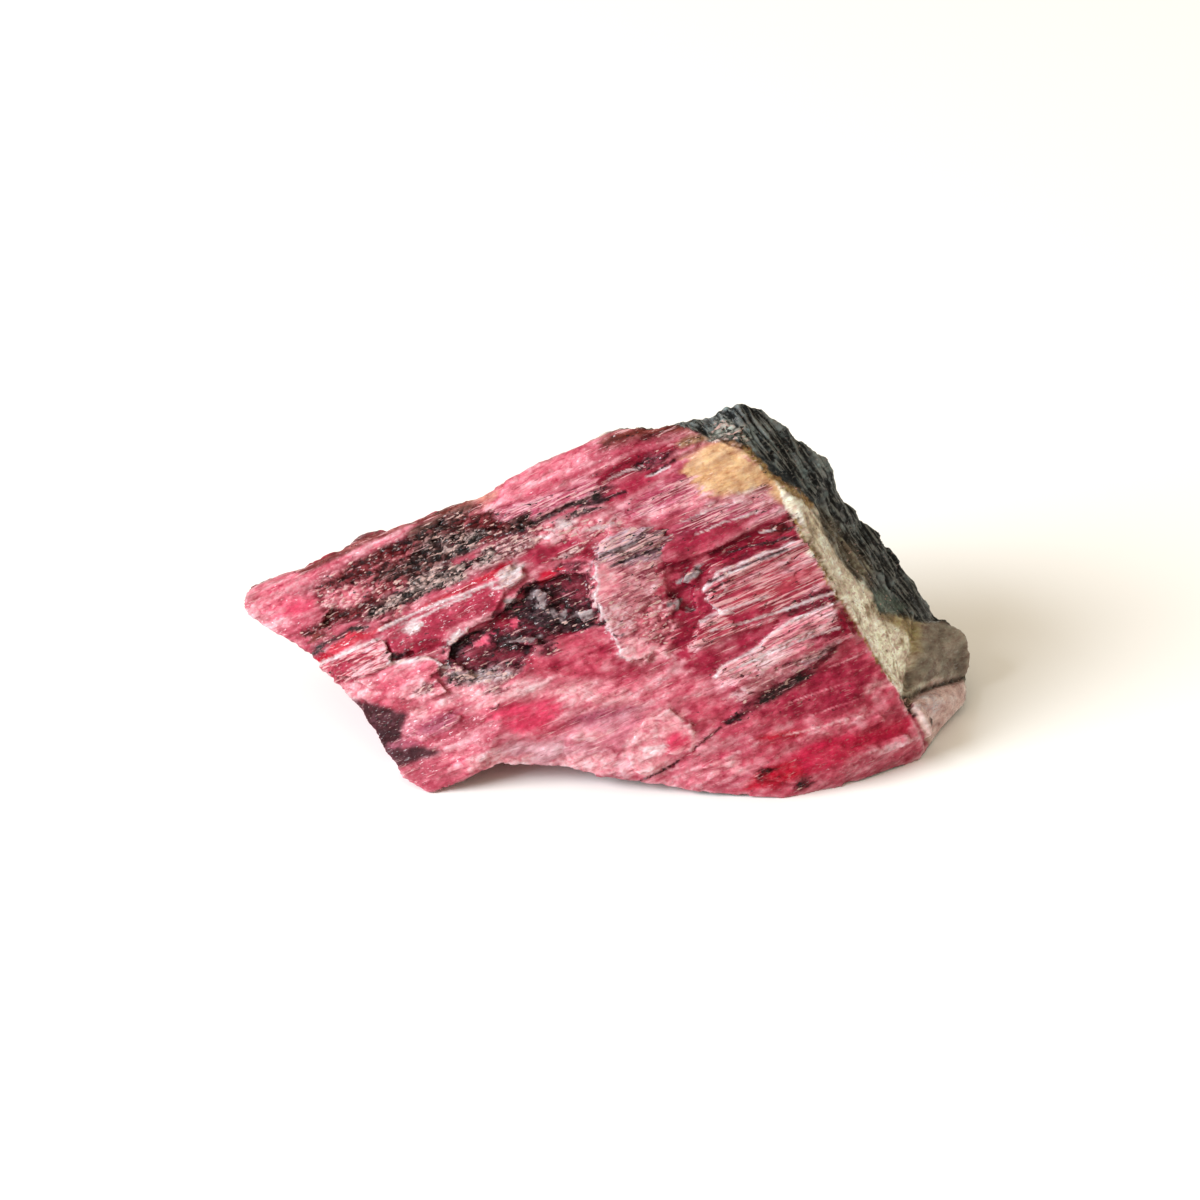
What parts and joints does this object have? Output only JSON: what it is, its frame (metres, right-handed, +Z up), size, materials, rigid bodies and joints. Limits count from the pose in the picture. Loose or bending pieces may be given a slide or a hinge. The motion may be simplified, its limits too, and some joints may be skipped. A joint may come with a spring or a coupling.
{
  "type": "rough rhodonite specimen",
  "caption": "Rough broken lump of pink rhodonite with a leaning cleaved face, blade-like ledges, a black oxide skin over one end and a flat underside to rest on.",
  "frame": {"origin": "on the ground, under the centre of the stone's bounding box", "axes": "+X to the end with the black skin, +Y away from the cleaved face, +Z up as it rests"},
  "size_m": [0.0476, 0.0248, 0.0209],
  "materials": {
    "rhodonite": "broken, satin on the cleavage faces, with a matt black skin at one end"
  },
  "bodies": {
    "root": {"rhodonite": "rhodonite"}
  },
  "joints": []
}
